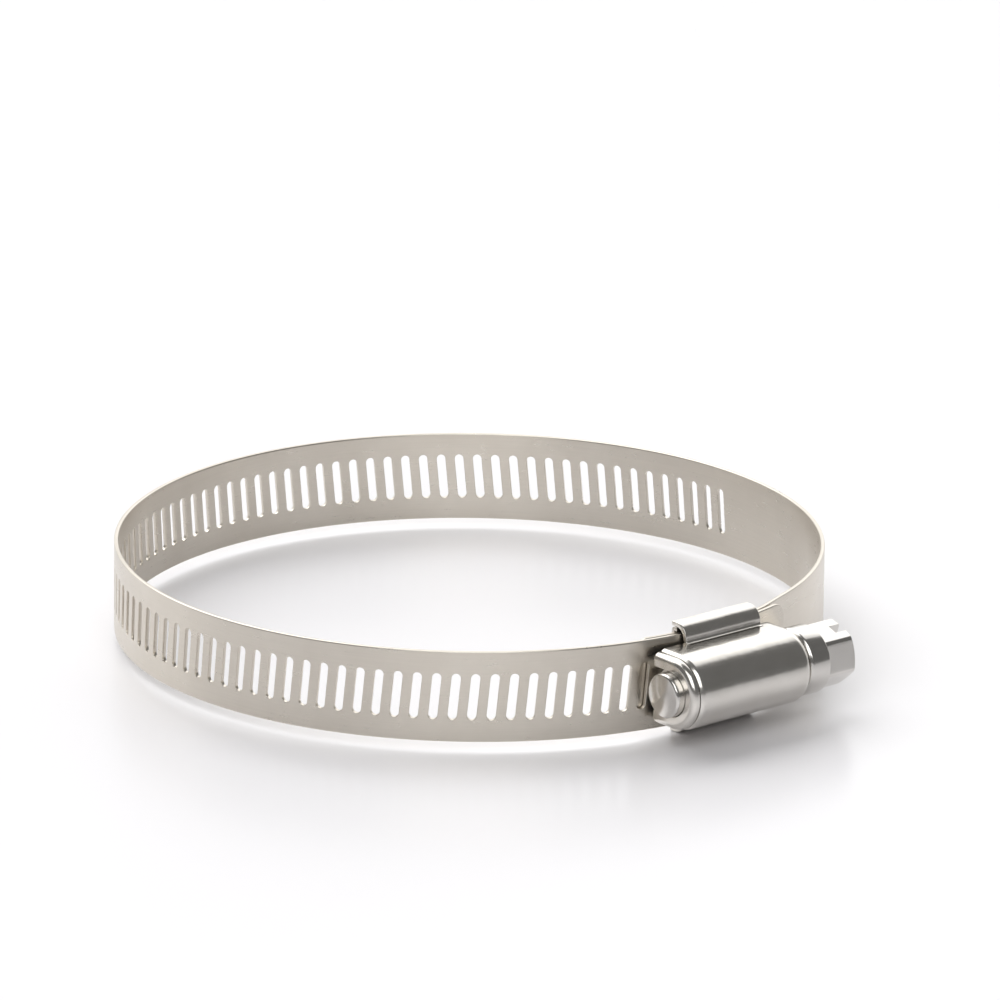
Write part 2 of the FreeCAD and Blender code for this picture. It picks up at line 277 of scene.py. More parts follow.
# The tail's own stretch: the last slot and the end with its two round corners
tail_tiles = 64
tail_start = SEAM + tail_tiles * PITCH
points, faces = [], []
add_pierced(points, faces, tail_start + HALF_TILE, HALF_TILE, slot_ring)
tail_x = steps_between(tail_start + PITCH, LENGTH - 0.3, 0.2)
add_plain(points, faces, tail_x + [LENGTH - x for x in reversed(rim_x)])
points = round_off(points, LENGTH, 1)
tail = mesh_object("tail", points, faces)


def node(tree, kind, settings=None, links=None):
    """Adds a node, sets its properties and socket values, and links its inputs."""
    made = tree.nodes.new(kind)
    for key, value in (settings or {}).items():
        if isinstance(key, str) and hasattr(made, key):
            setattr(made, key, value)
        else:
            made.inputs[key].default_value = value
    for key, source in (links or {}).items():
        tree.links.new(source, made.inputs[key])
    return made


def linear(hex_colour):
    """An sRGB hex colour as linear red, green, blue and alpha."""
    parts = [int(hex_colour[i:i + 2], 16) / 255 for i in (1, 3, 5)]
    return [c / 12.92 if c <= 0.04045 else ((c + 0.055) / 1.055) ** 2.4 for c in parts] + [1.0]


# Cold-rolled stainless strip, AISI 304 in a satin finish: fine lines along the strip from the
# rolls give a soft, stretched reflection, with a faint warm cloudiness from pickling and oil.
ROLL_LINE = 0.30 * MM       # real lines are 0.02 mm; drawn this coarse so that they show
ROLL_LENGTH = 14 * MM
CLOUD = 9 * MM
HANDLING = 2.2 * MM


def rolled_stainless():
    made = bpy.data.materials.new("satin_rolled_stainless")
    made.use_nodes = True
    tree = made.node_tree
    tree.nodes.clear()
    flat = node(tree, "ShaderNodeAttribute", {"attribute_name": "strip"}).outputs["Vector"]
    body = node(tree, "ShaderNodeTexCoord").outputs["Object"]
    stretch = node(tree, "ShaderNodeMapping",
                   {"Scale": (1 / ROLL_LENGTH, 1 / ROLL_LENGTH, 1 / ROLL_LINE)}, {"Vector": flat})
    lines = node(tree, "ShaderNodeTexNoise", {"Scale": 1.0, "Detail": 4.0, "Roughness": 0.65},
                 {"Vector": stretch.outputs[0]}).outputs["Fac"]
    cloud = node(tree, "ShaderNodeTexNoise", {"Scale": 1 / CLOUD, "Detail": 3.0, "Roughness": 0.5},
                 {"Vector": body}).outputs["Fac"]
    speck = node(tree, "ShaderNodeTexNoise", {"Scale": 1 / HANDLING, "Detail": 6.0, "Roughness": 0.7},
                 {"Vector": body}).outputs["Fac"]
    tint = node(tree, "ShaderNodeMix", {"data_type": "RGBA", 6: linear("#D0C9BE"), 7: linear("#DDD7CD")},
                {0: cloud}).outputs[2]
    streak = node(tree, "ShaderNodeMapRange", {1: 0.35, 2: 0.7, 3: 0.97, 4: 1.02}, {0: lines}).outputs[0]
    tone = node(tree, "ShaderNodeMix", {"data_type": "RGBA", "blend_type": "MULTIPLY", 0: 1.0},
                {6: tint, 7: streak}).outputs[2]
    base_rough = node(tree, "ShaderNodeMapRange", {1: 0.3, 2: 0.75, 3: 0.27, 4: 0.37},
                      {0: lines}).outputs[0]
    worn = node(tree, "ShaderNodeMapRange", {1: 0.35, 2: 0.7, 3: -0.03, 4: 0.04}, {0: speck}).outputs[0]
    rough = node(tree, "ShaderNodeMath", {"operation": "ADD"}, {0: base_rough, 1: worn}).outputs[0]
    fine = node(tree, "ShaderNodeBump", {"Strength": 0.18, "Distance": 0.004 * MM}, {"Height": lines})
    wavy = node(tree, "ShaderNodeBump", {"Strength": 0.35, "Distance": 0.02 * MM},
                {"Height": cloud, "Normal": fine.outputs[0]})
    shader = node(tree, "ShaderNodeBsdfPrincipled", {"Metallic": 1.0, "Anisotropic": 0.0},
                  {"Base Color": tone, "Roughness": rough, "Normal": wavy.outputs[0]})
    node(tree, "ShaderNodeOutputMaterial", None, {"Surface": shader.outputs[0]})
    return made


strip_steel = rolled_stainless()

# One tree lays tiles of strip end to end along the middle line and bends them to it
strip_tree = bpy.data.node_groups.new("bent_strip", "GeometryNodeTree")
strip_tree.is_modifier = True
for socket, kind in (
    ("Path", "NodeSocketObject"), ("Slotted tile", "NodeSocketObject"), ("Plain tile", "NodeSocketObject"),
    ("End stretch", "NodeSocketObject"), ("Start", "NodeSocketFloat"), ("Pitch", "NodeSocketFloat"),
    ("Tiles", "NodeSocketInt"), ("Plain tiles", "NodeSocketInt"), ("Steel", "NodeSocketMaterial"),
):
    strip_tree.interface.new_socket(socket, in_out="INPUT", socket_type=kind)
strip_tree.interface.new_socket("Geometry", in_out="OUTPUT", socket_type="NodeSocketGeometry")
given = node(strip_tree, "NodeGroupInput").outputs
step = node(strip_tree, "ShaderNodeCombineXYZ", None, {"X": given["Pitch"]})
half_step = node(strip_tree, "ShaderNodeMath", {"operation": "MULTIPLY_ADD", 1: 0.5},
                 {0: given["Pitch"], 2: given["Start"]})
first = node(strip_tree, "ShaderNodeCombineXYZ", None, {"X": half_step.outputs[0]})
row = node(strip_tree, "GeometryNodeMeshLine", None,
           {"Count": given["Tiles"], "Start Location": first.outputs[0], "Offset": step.outputs[0]})
place = node(strip_tree, "GeometryNodeInputIndex").outputs[0]
is_plain = node(strip_tree, "FunctionNodeCompare", {"data_type": "INT", "operation": "LESS_THAN"},
                {2: place, 3: given["Plain tiles"]})
not_plain = node(strip_tree, "FunctionNodeBooleanMath", {"operation": "NOT"}, {0: is_plain.outputs[0]})
laid = node(strip_tree, "GeometryNodeJoinGeometry")
for tile, chosen in (("Plain tile", is_plain), ("Slotted tile", not_plain)):
    shape = node(strip_tree, "GeometryNodeObjectInfo", None, {"Object": given[tile]})
    copies = node(strip_tree, "GeometryNodeInstanceOnPoints", None,
                  {"Points": row.outputs[0], "Selection": chosen.outputs[0],
                   "Instance": shape.outputs["Geometry"]})
    strip_tree.links.new(copies.outputs[0], laid.inputs[0])
end_shape = node(strip_tree, "GeometryNodeObjectInfo", None, {"Object": given["End stretch"]})
strip_tree.links.new(end_shape.outputs["Geometry"], laid.inputs[0])
real = node(strip_tree, "GeometryNodeRealizeInstances", None, {0: laid.outputs[0]})
welded = node(strip_tree, "GeometryNodeMergeByDistance", {"Distance": WELD}, {0: real.outputs[0]})
spot = node(strip_tree, "GeometryNodeInputPosition").outputs[0]
marked = node(strip_tree, "GeometryNodeStoreNamedAttribute",
              {"data_type": "FLOAT_VECTOR", "domain": "POINT", "Name": "strip"},
              {"Geometry": welded.outputs[0], "Value": spot})
parts = node(strip_tree, "ShaderNodeSeparateXYZ", None, {0: spot}).outputs
route = node(strip_tree, "GeometryNodeObjectInfo", None, {"Object": given["Path"]})
sample = node(strip_tree, "GeometryNodeSampleCurve", {"mode": "LENGTH"},
              {"Curves": route.outputs["Geometry"], "Length": parts[0]})
inward = node(strip_tree, "ShaderNodeVectorMath", {"operation": "CROSS_PRODUCT", 0: (0, 0, 1)},
              {1: sample.outputs["Tangent"]})
deep = node(strip_tree, "ShaderNodeVectorMath", {"operation": "SCALE"},
            {0: inward.outputs[0], "Scale": parts[1]})
tall = node(strip_tree, "ShaderNodeCombineXYZ", None, {"Z": parts[2]})
bent = node(strip_tree, "ShaderNodeVectorMath", {"operation": "ADD"},
            {0: sample.outputs["Position"], 1: deep.outputs[0]})
bent = node(strip_tree, "ShaderNodeVectorMath", {"operation": "ADD"},
            {0: bent.outputs[0], 1: tall.outputs[0]})
shaped = node(strip_tree, "GeometryNodeSetPosition", None,
              {"Geometry": marked.outputs[0], "Position": bent.outputs[0]})
steel = node(strip_tree, "GeometryNodeSetMaterial", None,
             {"Geometry": shaped.outputs[0], "Material": given["Steel"]})
node(strip_tree, "NodeGroupOutput", None, {"Geometry": steel.outputs[0]})


def from_tree(name, tree, values):
    """A plain mesh object made by a node tree with these named inputs."""
    holder = bpy.data.objects.new(name + "_source", bpy.data.meshes.new(name + "_source"))
    bpy.context.scene.collection.objects.link(holder)
    modifier = holder.modifiers.new("tree", "NODES")
    modifier.node_group = tree
    keys = {s.name: s.identifier for s in tree.interface.items_tree if s.in_out == "INPUT"}
    for socket, value in values.items():
        modifier[keys[socket]] = value
    depsgraph = bpy.context.evaluated_depsgraph_get()
    data = bpy.data.meshes.new_from_object(holder.evaluated_get(depsgraph))
    data.name = name
    holder.modifiers.remove(modifier)
    bpy.data.objects.remove(holder)
    made = bpy.data.objects.new(name, data)
    bpy.context.scene.collection.objects.link(made)
    return made


def strip_piece(name, start, tiles, plain=0, end=None):
    """A stretch of strip: this many tiles from start, the first of them plain, and an end stretch."""
    made = from_tree(name, strip_tree, {
        "Path": path, "Slotted tile": slotted_tile, "Plain tile": plain_tile, "End stretch": end,
        "Start": start * MM, "Pitch": PITCH * MM, "Tiles": tiles, "Plain tiles": plain,
        "Steel": strip_steel,
    })
    close_ends(made.data)
    return made


# Ten tiles are one link of the frame's chain, and each piece bends between two links' middles
LINK_TILES = 10
RIGHT_LINKS = 5
LEFT_LINKS = 4
PLAIN_TO = 29               # the slots begin this many pitches before the seam
ALL_PLAIN = 1000            # more than any stretch has
for n in range(1, RIGHT_LINKS + 1):
    far_tiles = LINK_TILES * (RIGHT_LINKS - n) + LINK_TILES // 2
    start = SEAM - far_tiles * PITCH
    tiles = LINK_TILES if n < RIGHT_LINKS else LINK_TILES // 2
    plain = max(0, min(tiles, far_tiles - PLAIN_TO))
    piece = strip_piece("strip_right_%d" % n, start, tiles, plain)
    if n < RIGHT_LINKS:
        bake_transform(piece)
    else:
        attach(piece, "right_%02d" % n)
    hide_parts("band_right_%02d" % n)
for n in range(1, LEFT_LINKS + 1):
    far_tiles = LINK_TILES * (LEFT_LINKS - n) + LINK_TILES // 2
    tiles = LINK_TILES if n < LEFT_LINKS else LINK_TILES // 2
    end = SEAM + far_tiles * PITCH
    piece = strip_piece("strip_left_%d" % n, end - tiles * PITCH, tiles)
    if n < LEFT_LINKS:
        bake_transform(piece)
    else:
        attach(piece, "left_%02d" % n)
    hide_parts("band_left_%02d" % n)

first_joint = LINK_TILES * RIGHT_LINKS
first_mid = SEAM - (first_joint - LINK_TILES // 2) * PITCH
fixed_end = strip_piece("strip_fixed_end", tongue_end, round((first_mid - tongue_end) / PITCH),
                        ALL_PLAIN, tongue)
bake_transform(fixed_end)
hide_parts("band_fixed_end")

free_mid = SEAM + (LINK_TILES * LEFT_LINKS - LINK_TILES // 2) * PITCH
free_end = strip_piece("strip_free_end", free_mid, round((tail_start - free_mid) / PITCH), 0, tail)
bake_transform(free_end)
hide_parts("band_free_end")

# ---------------------------------------------------------------------------------------------
# The saddle: a channel pressed from 0.6 mm stainless sheet that the strip's two layers lie in.
# Two round bosses pressed up from its base go through the fixed end and hold it.
SADDLE_IN = 47.75
SADDLE_T = 0.6
SADDLE_X = (-5.1, 8.2)
WALL_Z = 6.45
WALL_TOP = 48.85
SADDLE_BEND = 0.36
BOSS_PROFILE = [(0, 1.2), (0.75, 1.2), (0.82, 1.17), (0.85, 1.08)]     # height and radius
CUT_R = 0.1


def rim_steps(low, high, step, radius):
    """Places from low to high, closer together where a cut edge is rounded."""
    near = [radius * (1 - math.cos(a * math.pi / 6)) for a in range(4)]
    inside = steps_between(low + radius * 1.5, high - radius * 1.5, step)
    return [low + d for d in near] + inside + [high - d for d in reversed(near)]


def thin(value, low, high, radius, half):
    """Half a sheet's thickness at a place between two rounded cut edges."""
    left = min(value - low, high - value)
    if left >= radius:
        return half
    return half - radius * (1 - math.sqrt(max(0.0, 1 - (1 - left / radius) ** 2)))


def pressed_sheet(name, surface, us, vs, thickness, radius, steel):
    """A closed sheet about surface(u, v), which gives a middle point and its outward normal."""
    outer, inner = [], []
    for u in us:
        row_out, row_in = [], []
        for v in vs:
            middle, normal = surface(u, v)
            half = min(thin(u, us[0], us[-1], radius, thickness / 2),
                       thin(v, vs[0], vs[-1], radius, thickness / 2))
            row_out.append(tuple(middle + normal * half))
            row_in.append(tuple(middle - normal * half))
        outer.append(row_out)
        inner.append(row_in)
    points, faces = [], []
    add_grid(points, faces, outer)
    add_grid(points, faces, inner)
    rows, wide = len(us), len(vs)
    under = rows * wide
    loop = list(range(wide))
    loop += [i * wide + wide - 1 for i in range(1, rows)]
    loop += [(rows - 1) * wide + j for j in range(wide - 2, -1, -1)]
    loop += [i * wide for i in range(rows - 2, 0, -1)]
    for a, b in zip(loop, loop[1:] + loop[:1]):
        faces.append((b, a, a + under, b + under))
    made = mesh_object(name, points, faces)
    bpy.context.scene.collection.objects.link(made)
    bm = bmesh.new()
    bm.from_mesh(made.data)
    bmesh.ops.recalc_face_normals(bm, faces=bm.faces)
    for face in bm.faces:
        face.smooth = True
    bm.to_mesh(made.data)
    bm.free()
    made.data.materials.append(steel)
    return made


def rounded_line(corners, radii):
    """A line through corners with its bends rounded.

    Gives a function from a length to the point and left-hand normal there, the whole length,
    and the lengths where each straight or bend begins.
    """
    stretches = []
    at = Vector(corners[0])
    for before, corner, after, radius in zip(corners, corners[1:], corners[2:], radii):
        corner = Vector(corner)
        back = (Vector(before) - corner).normalized()
        on = (Vector(after) - corner).normalized()
        half = back.angle(on) / 2
        cut = radius / math.tan(half)
        stretches.append(("line", at, corner + back * cut))
        centre = corner + (back + on).normalized() * (radius / math.sin(half))
        stretches.append(("arc", corner + back * cut, corner + on * cut, centre))
        at = corner + on * cut
    stretches.append(("line", at, Vector(corners[-1])))
    samples, travelled = [], 0.0
    for stretch in stretches:
        one, two = stretch[1], stretch[2]
        if stretch[0] == "line":
            length = (two - one).length
            direction = (two - one).normalized()
            samples.append((travelled, travelled + length, lambda t, a=one, d=direction: (a + d * t, d)))
        else:
            centre = stretch[3]
            radius = (one - centre).length
            start = math.atan2(one.y - centre.y, one.x - centre.x)
            sweep = math.atan2(two.y - centre.y, two.x - centre.x) - start
            sweep = (sweep + math.pi) % (2 * math.pi) - math.pi
            length = abs(sweep) * radius

            def turn(t, c=centre, r=radius, s=start, w=sweep, n=length):
                a = s + w * t / n
                way = math.copysign(1, w)
                return c + Vector((math.cos(a), math.sin(a))) * r, Vector((-math.sin(a), math.cos(a))) * way

            samples.append((travelled, travelled + length, turn))
        travelled += length

    def at_length(s):
        for low, high, find in samples:
            if s <= high + 1e-9:
                point, direction = find(min(max(s - low, 0), high - low))
                return point, Vector((-direction.y, direction.x))
        point, direction = find(high - low)
        return point, Vector((-direction.y, direction.x))

    return at_length, travelled, [s[0] for s in samples] + [travelled]


# Stainless sheet pressed to shape and tumbled: brighter and smoother than the strip, with the
# slight waviness of a drawn surface and fine tumbling scratches.
DRAWN_WAVE = 3.5 * MM
SCRATCH = 0.5 * MM          # real tumbling marks are 0.05 mm wide; drawn this coarse to show


def pressed_stainless(name, light, dark, rough_low, rough_high, wave):
    made = bpy.data.materials.new(name)
    made.use_nodes = True
    tree = made.node_tree
    tree.nodes.clear()
    body = node(tree, "ShaderNodeTexCoord").outputs["Object"]
    swell = node(tree, "ShaderNodeTexNoise", {"Scale": 1 / DRAWN_WAVE, "Detail": 2.0, "Roughness": 0.45},
                 {"Vector": body}).outputs["Fac"]
    turned = node(tree, "ShaderNodeMapping", {"Rotation": (0.3, 0.5, 0.9), "Scale": (1, 5, 5)},
                  {"Vector": body})
    marks = node(tree, "ShaderNodeTexNoise", {"Scale": 0.2 / SCRATCH, "Detail": 5.0, "Roughness": 0.75},
                 {"Vector": turned.outputs[0]}).outputs["Fac"]
    tint = node(tree, "ShaderNodeMix", {"data_type": "RGBA", 6: linear(dark), 7: linear(light)},
                {0: swell}).outputs[2]
    speck = node(tree, "ShaderNodeMapRange", {1: 0.3, 2: 0.6, 3: 0.97, 4: 1.01}, {0: marks}).outputs[0]
    tone = node(tree, "ShaderNodeMix", {"data_type": "RGBA", "blend_type": "MULTIPLY", 0: 1.0},
                {6: tint, 7: speck}).outputs[2]
    rough = node(tree, "ShaderNodeMapRange", {1: 0.3, 2: 0.7, 3: rough_low, 4: rough_high},
                 {0: marks}).outputs[0]
    drawn = node(tree, "ShaderNodeBump", {"Strength": 0.5, "Distance": wave * MM}, {"Height": swell})
    scratched = node(tree, "ShaderNodeBump", {"Strength": 0.08, "Distance": 0.003 * MM},
                     {"Height": marks, "Normal": drawn.outputs[0]})
    shader = node(tree, "ShaderNodeBsdfPrincipled", {"Metallic": 1.0},
                  {"Base Color": tone, "Roughness": rough, "Normal": scratched.outputs[0]})
    node(tree, "ShaderNodeOutputMaterial", None, {"Surface": shader.outputs[0]})
    return made


saddle_steel = pressed_stainless("pressed_stainless", "#D6D2CB", "#C6C1B9", 0.2, 0.3, 0.05)

wall_mid = WALL_Z + SADDLE_T / 2
base_mid = SADDLE_IN + SADDLE_T / 2
saddle_line, saddle_long, saddle_bends = rounded_line(
    [(-wall_mid, WALL_TOP), (-wall_mid, base_mid), (wall_mid, base_mid), (wall_mid, WALL_TOP)],
    [SADDLE_BEND, SADDLE_BEND])


def saddle_surface(u, v):
    """u is the place along X, v the length across the channel's section."""
    (z, radius), (nz, nr) = saddle_line(v)
    lean = math.asin(u / radius)
    outward = Vector((math.sin(lean), -math.cos(lean), 0))
    return feed_centre + outward * radius + Vector((0, 0, z)), -(outward * nr + Vector((0, 0, nz)))


saddle_v = rim_steps(0, saddle_long, 0.4, CUT_R)
for low, high in zip(saddle_bends[1::2], saddle_bends[2::2]):
    saddle_v += [low + (high - low) * i / 6 for i in range(7)]
saddle_v = sorted(set(saddle_v))
saddle = pressed_sheet("saddle_channel", saddle_surface, rim_steps(*SADDLE_X, 0.4, CUT_R), saddle_v,
                       SADDLE_T, CUT_R, saddle_steel)


def lathe(profile, centre, axis, start, steps):
    """Points and faces of a turned shape: (distance along the axis, radius) from end to end."""
    side = axis.cross(start)
    rings = []
    for far, radius in profile:
        middle = centre + axis * far
        rings.append([
            tuple(middle + (start * math.cos(a) + side * math.sin(a)) * radius)
            for a in (2 * math.pi * k / steps for k in range(steps))
        ])
    points, faces = [], []
    add_grid(points, faces, rings, closed_rows=True)
    last = (len(profile) - 1) * steps
    faces.append(tuple(range(steps))[::-1])
    faces.append(tuple(last + k for k in range(steps)))
    return points, faces


def finish_mesh(made, sharp_angle=35):
    """Turns faces outward, smooths curved faces, and keeps real corners crisp."""
    bm = bmesh.new()
    bm.from_mesh(made.data)
    bmesh.ops.remove_doubles(bm, verts=bm.verts, dist=0.000001)
    bmesh.ops.recalc_face_normals(bm, faces=bm.faces)
    for face in bm.faces:
        face.smooth = True
    for edge in bm.edges:
        edge.smooth = len(edge.link_faces) == 2 and edge.calc_face_angle() < math.radians(sharp_angle)
    bm.to_mesh(made.data)
    bm.free()


boss_points, boss_faces = [], []
for x in BOSS_X:
    lean = math.asin(x / FIXED_R)
    outward = Vector((math.sin(lean), -math.cos(lean), 0))
    foot = feed_centre + outward * (SADDLE_IN + SADDLE_T / 2)
    some, more = lathe(BOSS_PROFILE, foot, outward, Vector((0, 0, 1)), 40)
    boss_faces += [tuple(k + len(boss_points) for k in face) for face in more]
    boss_points += some
bosses = mesh_object("saddle_bosses", boss_points, boss_faces)
bpy.context.scene.collection.objects.link(bosses)
finish_mesh(bosses)
bosses.data.materials.append(saddle_steel)
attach(bosses, "housing_unit")
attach(saddle, "housing_unit")
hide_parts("saddle")

# ---------------------------------------------------------------------------------------------
# The housing: one shell deep drawn from 0.65 mm stainless sheet. Its barrel holds the screw
# between two turned-in walls, and its skirts are folded down round the saddle's walls.
SHELL_T = 0.65
BARREL_R = 5.25
BARREL_X = (-10.4, 10.8)
CAP_R = 4.95                # the closed front end, a step smaller than the barrel
CAP_ROUND = 0.85
CAP_END_X = -9.15
STEP_END_X = -8.65
STEP_ROUND = (0.2, 0.45)    # at the foot and at the top of that step
REAR_ROUND = 1.4
HOLE_FRONT, HOLE_REAR = 3.11, 3.61
AXIS_Y = -54.15
LEG_Y = -50.8
SKIRT_Z = 7.75
FOOT_Y = -48.3
SHOULDER_Y = -51.25
SHOULDER_R = 2.0
VALLEY_R = 0.45

housing_steel = pressed_stainless("drawn_stainless", "#E2DFDA", "#D4D0C9", 0.17, 0.24, 0.12)

mid_r = BARREL_R - SHELL_T / 2
cap_mid = CAP_R - SHELL_T / 2
barrel_line, barrel_long, barrel_bends = rounded_line(
    [(BARREL_X[0] + SHELL_T / 2, HOLE_FRONT), (BARREL_X[0] + SHELL_T / 2, cap_mid), (CAP_END_X, cap_mid),
     (STEP_END_X, mid_r), (BARREL_X[1] - SHELL_T / 2, mid_r), (BARREL_X[1] - SHELL_T / 2, HOLE_REAR)],
    [CAP_ROUND - SHELL_T / 2, *STEP_ROUND, REAR_ROUND - SHELL_T / 2])
leg_long = LEG_Y - AXIS_Y


def barrel_surface(u, v):
    """u is the length along the profile; v goes up one leg, over the top and down the other."""
    (x, radius), (nx, nr) = barrel_line(u)
    if v < leg_long:
        place = Vector((x, LEG_Y - v, -radius))
        across = Vector((0, 0, -1))
    elif v > leg_long + math.pi * mid_r:
        place = Vector((x, AXIS_Y + v - leg_long - math.pi * mid_r, radius))
        across = Vector((0, 0, 1))
    else:
        a = (v - leg_long) / mid_r
        across = Vector((0, -math.sin(a), -math.cos(a)))
        place = Vector((x, AXIS_Y, 0)) + across * radius
    return place, across * nr + Vector((nx, 0, 0))


barrel_u = rim_steps(0, barrel_long, 0.25, CUT_R)
for low, high in zip(barrel_bends[1::2], barrel_bends[2::2]):
    barrel_u = [u for u in barrel_u if u < low - 0.02 or u > high + 0.02]
    barrel_u += [low + (high - low) * i / 10 for i in range(11)]
arc_v = [leg_long + math.pi * mid_r * i / 72 for i in range(73)]
leg_v = rim_steps(0, 2 * leg_long, 0.4, CUT_R)
leg_v = [v for v in leg_v if v < leg_long - 0.05]
whole_v = 2 * leg_long + math.pi * mid_r
barrel_v = leg_v + arc_v + [whole_v - v for v in reversed(leg_v)]
barrel = pressed_sheet("housing_barrel", barrel_surface, sorted(barrel_u), barrel_v, SHELL_T, CUT_R,
                       housing_steel)
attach(barrel, "housing_unit")
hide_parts("housing")

skirt_mid = SKIRT_Z - SHELL_T / 2
fold_line, fold_long, _ = rounded_line(
    [(skirt_mid, FOOT_Y), (skirt_mid, SHOULDER_Y + SHELL_T / 2),
     (BARREL_R - SHELL_T / 2, SHOULDER_Y + SHELL_T / 2), (BARREL_R - SHELL_T / 2, SHOULDER_Y - 1.0)],
    [SHOULDER_R - SHELL_T / 2, VALLEY_R + SHELL_T / 2])


for side, name in ((1, "housing_skirt_upper"), (-1, "housing_skirt_lower")):

    def skirt_surface(u, v, side=side):
        """u is the place along X; v goes from the skirt's foot, over the shoulder, to the barrel."""
        (z, y), (nz, ny) = fold_line(v)
        return Vector((u, y, side * z)), Vector((0, ny, side * nz)) * -1

    skirt_v = [v for v in rim_steps(0, 2 * fold_long, 0.25, CUT_R) if v < fold_long] + [fold_long]
    skirt = pressed_sheet(name, skirt_surface, rim_steps(*SADDLE_X, 0.3, CUT_R), skirt_v, SHELL_T, CUT_R,
                          housing_steel)
    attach(skirt, "housing_unit")

# ---------------------------------------------------------------------------------------------
# The screw: cold headed from stainless wire, with a rolled thread one slot pitch in lead. A tip
# with a shallow cone and a neck turn in the housing's walls. A collar stands behind the hexagon.
THREAD_R = 4.33
HUB_R = 3.55
TIP_R = 3.05
TIP_X = -12.0
TIP_END_X = -9.65
COLLAR_X = 10.9
COLLAR_R = 4.76
HEX_X = 14.4
HEX_END = 19.4
HEX_AF = 8.0
DRIVE_W = 1.5
DRIVE_DEPTH = 2.0
HEAD_TURN = math.radians(20)

screw_steel = pressed_stainless("headed_stainless", "#DDDAD6", "#CECBC6", 0.12, 0.2, 0.03)


def eased(corners, radius, steps=4):
    """A profile with each inner corner rounded by this much."""
    made = [corners[0]]
    for before, corner, after in zip(corners, corners[1:], corners[2:]):
        corner = Vector(corner)
        back, on = Vector(before) - corner, Vector(after) - corner
        cut = min(radius, back.length * 0.45, on.length * 0.45)
        one, two = corner + back.normalized() * cut, corner + on.normalized() * cut
        for i in range(steps + 1):
            t = i / steps
            made.append(tuple(one * (1 - t) ** 2 + corner * 2 * t * (1 - t) + two * t ** 2))
    return made + [corners[-1]]


axis_x = Vector((1, 0, 0))
screw_centre = Vector((0, AXIS_Y, 0))
shank_profile = eased([
    (TIP_X, 0.01), (TIP_X + 0.3, TIP_R - 0.2), (TIP_X + 0.5, TIP_R), (TIP_END_X, TIP_R),
    (TIP_END_X, HUB_R), (COLLAR_X, HUB_R), (COLLAR_X, COLLAR_R - 0.35),
    (COLLAR_X + 0.35, COLLAR_R), (HEX_X - 0.2, COLLAR_R),
    (HEX_X, COLLAR_R - 0.2), (HEX_X, 0.01),
], 0.12)
points, faces = lathe(shank_profile, screw_centre, axis_x, Vector((0, 0, 1)), 120)
shank = mesh_object("screw_shank", points, faces)
bpy.context.scene.collection.objects.link(shank)
finish_mesh(shank, 50)
shank.data.materials.append(screw_steel)
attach(shank, "screw")
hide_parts("screw")

# The rolled thread: one ridge wound round the neck, a slot pitch to the turn, over a slot at mid
# height. It is wound left-handed, a known fault: the frame's thread is right-handed and leans
# with the slots, and this one leans against them. Its ends are cut square inside the barrel.
THREAD_X = (-9.0, 9.4)
THREAD_ROOT = 1.24
THREAD_CREST = 0.65
THREAD_SUNK = 0.25          # how far the ridge's root goes into the neck
THREAD_DEPTH = THREAD_R - HUB_R
THREAD_TURN = math.pi / 2   # turns the section's narrow side outward
RIDGE_ROUND = 0.12

thread_tree = bpy.data.node_groups.new("wound_ridge", "GeometryNodeTree")
thread_tree.is_modifier = True
for socket, kind in (
    ("Lead", "NodeSocketFloat"), ("Turns", "NodeSocketFloat"), ("Radius", "NodeSocketFloat"),
    ("Depth", "NodeSocketFloat"), ("Root", "NodeSocketFloat"), ("Crest", "NodeSocketFloat"),
    ("Start", "NodeSocketVector"), ("Steel", "NodeSocketMaterial"),
):
    thread_tree.interface.new_socket(socket, in_out="INPUT", socket_type=kind)
thread_tree.interface.new_socket("Geometry", in_out="OUTPUT", socket_type="NodeSocketGeometry")
given = node(thread_tree, "NodeGroupInput").outputs
rise = node(thread_tree, "ShaderNodeMath", {"operation": "MULTIPLY"},
            {0: given["Lead"], 1: given["Turns"]})
helix = node(thread_tree, "GeometryNodeCurveSpiral", {"Resolution": 64},
             {"Rotations": given["Turns"], "Start Radius": given["Radius"], "End Radius": given["Radius"],
              "Height": rise.outputs[0]})
upright = node(thread_tree, "GeometryNodeSetCurveNormal", {"mode": "Z_UP"}, {0: helix.outputs[0]})
ridge = node(thread_tree, "GeometryNodeCurvePrimitiveQuadrilateral", {"mode": "TRAPEZOID", "Offset": 0.0},
             {"Height": given["Depth"], "Bottom Width": given["Root"], "Top Width": given["Crest"]})
eased_ridge = node(thread_tree, "GeometryNodeFilletCurve",
                   {"mode": "POLY", "Count": 3, "Radius": RIDGE_ROUND * MM}, {0: ridge.outputs[0]})
stood = node(thread_tree, "GeometryNodeTransform", {"Rotation": (0, 0, THREAD_TURN)},
             {0: eased_ridge.outputs[0]})
wound = node(thread_tree, "GeometryNodeCurveToMesh", {"Fill Caps": True},
             {0: upright.outputs[0], 1: stood.outputs[0]})
spot = node(thread_tree, "GeometryNodeInputPosition").outputs[0]
axes = node(thread_tree, "ShaderNodeSeparateXYZ", None, {0: spot}).outputs
lying = node(thread_tree, "ShaderNodeCombineXYZ", None, {0: axes[2], 1: axes[0], 2: axes[1]})
moved = node(thread_tree, "ShaderNodeVectorMath", {"operation": "ADD"},
             {0: lying.outputs[0], 1: given["Start"]})
placed = node(thread_tree, "GeometryNodeSetPosition", None,
              {"Geometry": wound.outputs[0], "Position": moved.outputs[0]})
real = node(thread_tree, "GeometryNodeRealizeInstances", None, {0: placed.outputs[0]})
steel = node(thread_tree, "GeometryNodeSetMaterial", None,
             {"Geometry": real.outputs[0], "Material": given["Steel"]})
node(thread_tree, "NodeGroupOutput", None, {"Geometry": steel.outputs[0]})
